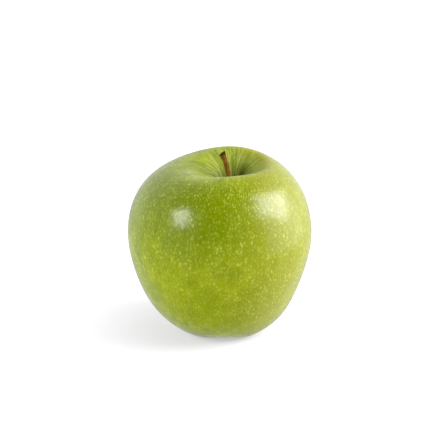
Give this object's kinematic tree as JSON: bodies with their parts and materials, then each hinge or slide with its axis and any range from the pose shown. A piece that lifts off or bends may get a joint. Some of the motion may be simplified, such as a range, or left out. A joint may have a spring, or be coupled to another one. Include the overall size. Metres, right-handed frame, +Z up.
{
  "type": "apple",
  "caption": "Whole green eating apple with a deep stem cavity, a woody leaning stem and a dried five-sepal calyx in the basin below; it rests on low lobes round the basin.",
  "frame": {"origin": "on the surface the apple rests on, under the middle of the fruit's outline", "axes": "+Z up from the basin to the stem; -Y is the front, the side that the picture shows; +X is to its right"},
  "size_m": [0.0784, 0.0784, 0.0799],
  "materials": {
    "skin": "satin",
    "stem": "matte",
    "calyx": "matte"
  },
  "bodies": {
    "root": {"apple_body": "skin", "stem": "stem", "calyx": "calyx"}
  },
  "joints": []
}
